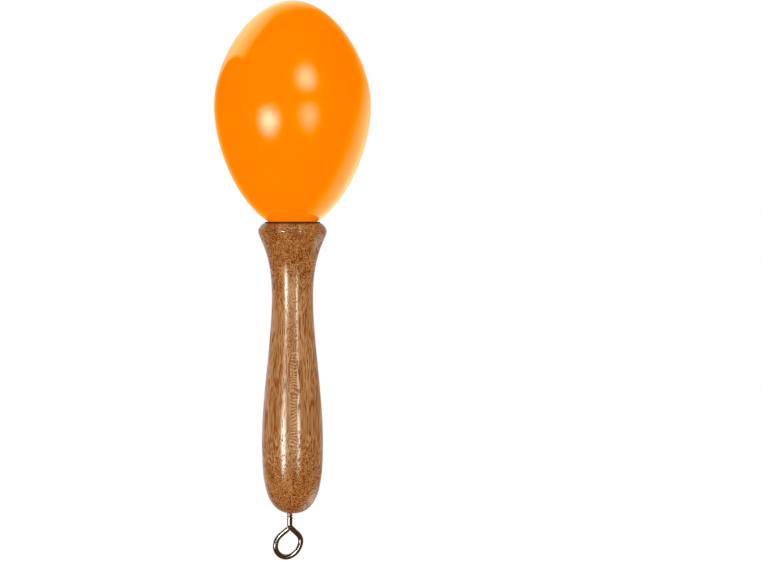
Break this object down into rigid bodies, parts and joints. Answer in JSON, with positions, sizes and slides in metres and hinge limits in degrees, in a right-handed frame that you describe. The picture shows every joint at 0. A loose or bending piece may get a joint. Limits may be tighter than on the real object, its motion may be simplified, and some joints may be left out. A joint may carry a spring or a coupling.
{
  "type": "egg shaker",
  "caption": "Handled egg shaker: a hollow plastic egg of steel pellets on a turned wooden handle with a hanging screw eye.",
  "frame": {"origin": "on the turning axis, at the height of the hanging eye's lowest point", "axes": "+Z along the handle towards the egg; +X in the plane of the eye's loop; +Y through the loop"},
  "size_m": [0.0588, 0.0588, 0.2097],
  "materials": {
    "egg_plastic": "gloss",
    "handle_wood": "clear lacquer",
    "washer_black": "matt",
    "nickel_wire": "bright nickel plate",
    "pellet_steel": "polished"
  },
  "bodies": {
    "shaker": {"handle": "handle_wood", "lower_shell": "egg_plastic", "upper_shell": "egg_plastic", "neck_washer": "washer_black", "screw_eye": "nickel_wire"},
    "pellet_01": {"pellet_01": "pellet_steel"},
    "pellet_02": {"pellet_02": "pellet_steel"},
    "pellet_03": {"pellet_03": "pellet_steel"},
    "pellet_04": {"pellet_04": "pellet_steel"},
    "pellet_05": {"pellet_05": "pellet_steel"},
    "pellet_06": {"pellet_06": "pellet_steel"},
    "pellet_07": {"pellet_07": "pellet_steel"},
    "pellet_08": {"pellet_08": "pellet_steel"},
    "pellet_09": {"pellet_09": "pellet_steel"},
    "pellet_10": {"pellet_10": "pellet_steel"},
    "pellet_11": {"pellet_11": "pellet_steel"},
    "pellet_12": {"pellet_12": "pellet_steel"},
    "pellet_13": {"pellet_13": "pellet_steel"},
    "pellet_14": {"pellet_14": "pellet_steel"},
    "pellet_15": {"pellet_15": "pellet_steel"},
    "pellet_16": {"pellet_16": "pellet_steel"},
    "pellet_17": {"pellet_17": "pellet_steel"},
    "pellet_18": {"pellet_18": "pellet_steel"},
    "pellet_19": {"pellet_19": "pellet_steel"},
    "outer_pellets": {"pellet_20": "pellet_steel", "pellet_21": "pellet_steel", "pellet_22": "pellet_steel", "pellet_23": "pellet_steel", "pellet_24": "pellet_steel", "pellet_25": "pellet_steel", "pellet_26": "pellet_steel", "pellet_27": "pellet_steel", "pellet_28": "pellet_steel", "pellet_29": "pellet_steel", "pellet_30": "pellet_steel", "pellet_31": "pellet_steel", "pellet_32": "pellet_steel", "pellet_33": "pellet_steel", "pellet_34": "pellet_steel", "pellet_35": "pellet_steel", "pellet_36": "pellet_steel", "pellet_37": "pellet_steel"}
  },
  "joints": [
    {"name": "pellet_01_toss", "type": "slide", "parent": "shaker", "child": "pellet_01", "axis": [0, 0, 1], "range_m": [0, 0.0755]},
    {"name": "pellet_02_toss", "type": "slide", "parent": "shaker", "child": "pellet_02", "axis": [0, 0, 1], "range_m": [0, 0.0751]},
    {"name": "pellet_03_toss", "type": "slide", "parent": "shaker", "child": "pellet_03", "axis": [0, 0, 1], "range_m": [0, 0.0751]},
    {"name": "pellet_04_toss", "type": "slide", "parent": "shaker", "child": "pellet_04", "axis": [0, 0, 1], "range_m": [0, 0.0751]},
    {"name": "pellet_05_toss", "type": "slide", "parent": "shaker", "child": "pellet_05", "axis": [0, 0, 1], "range_m": [0, 0.0751]},
    {"name": "pellet_06_toss", "type": "slide", "parent": "shaker", "child": "pellet_06", "axis": [0, 0, 1], "range_m": [0, 0.0751]},
    {"name": "pellet_07_toss", "type": "slide", "parent": "shaker", "child": "pellet_07", "axis": [0, 0, 1], "range_m": [0, 0.0751]},
    {"name": "pellet_08_toss", "type": "slide", "parent": "shaker", "child": "pellet_08", "axis": [0, 0, 1], "range_m": [0, 0.0736]},
    {"name": "pellet_09_toss", "type": "slide", "parent": "shaker", "child": "pellet_09", "axis": [0, 0, 1], "range_m": [0, 0.0736]},
    {"name": "pellet_10_toss", "type": "slide", "parent": "shaker", "child": "pellet_10", "axis": [0, 0, 1], "range_m": [0, 0.0736]},
    {"name": "pellet_11_toss", "type": "slide", "parent": "shaker", "child": "pellet_11", "axis": [0, 0, 1], "range_m": [0, 0.0736]},
    {"name": "pellet_12_toss", "type": "slide", "parent": "shaker", "child": "pellet_12", "axis": [0, 0, 1], "range_m": [0, 0.0736]},
    {"name": "pellet_13_toss", "type": "slide", "parent": "shaker", "child": "pellet_13", "axis": [0, 0, 1], "range_m": [0, 0.0736]},
    {"name": "pellet_14_toss", "type": "slide", "parent": "shaker", "child": "pellet_14", "axis": [0, 0, 1], "range_m": [0, 0.0736]},
    {"name": "pellet_15_toss", "type": "slide", "parent": "shaker", "child": "pellet_15", "axis": [0, 0, 1], "range_m": [0, 0.0736]},
    {"name": "pellet_16_toss", "type": "slide", "parent": "shaker", "child": "pellet_16", "axis": [0, 0, 1], "range_m": [0, 0.0736]},
    {"name": "pellet_17_toss", "type": "slide", "parent": "shaker", "child": "pellet_17", "axis": [0, 0, 1], "range_m": [0, 0.0736]},
    {"name": "pellet_18_toss", "type": "slide", "parent": "shaker", "child": "pellet_18", "axis": [0, 0, 1], "range_m": [0, 0.0736]},
    {"name": "pellet_19_toss", "type": "slide", "parent": "shaker", "child": "pellet_19", "axis": [0, 0, 1], "range_m": [0, 0.0736]},
    {"name": "outer_pellets_swirl", "type": "hinge", "parent": "shaker", "child": "outer_pellets", "pos_m": [0, 0, 0.129], "axis": [0, 0, 1], "continuous": true}
  ]
}
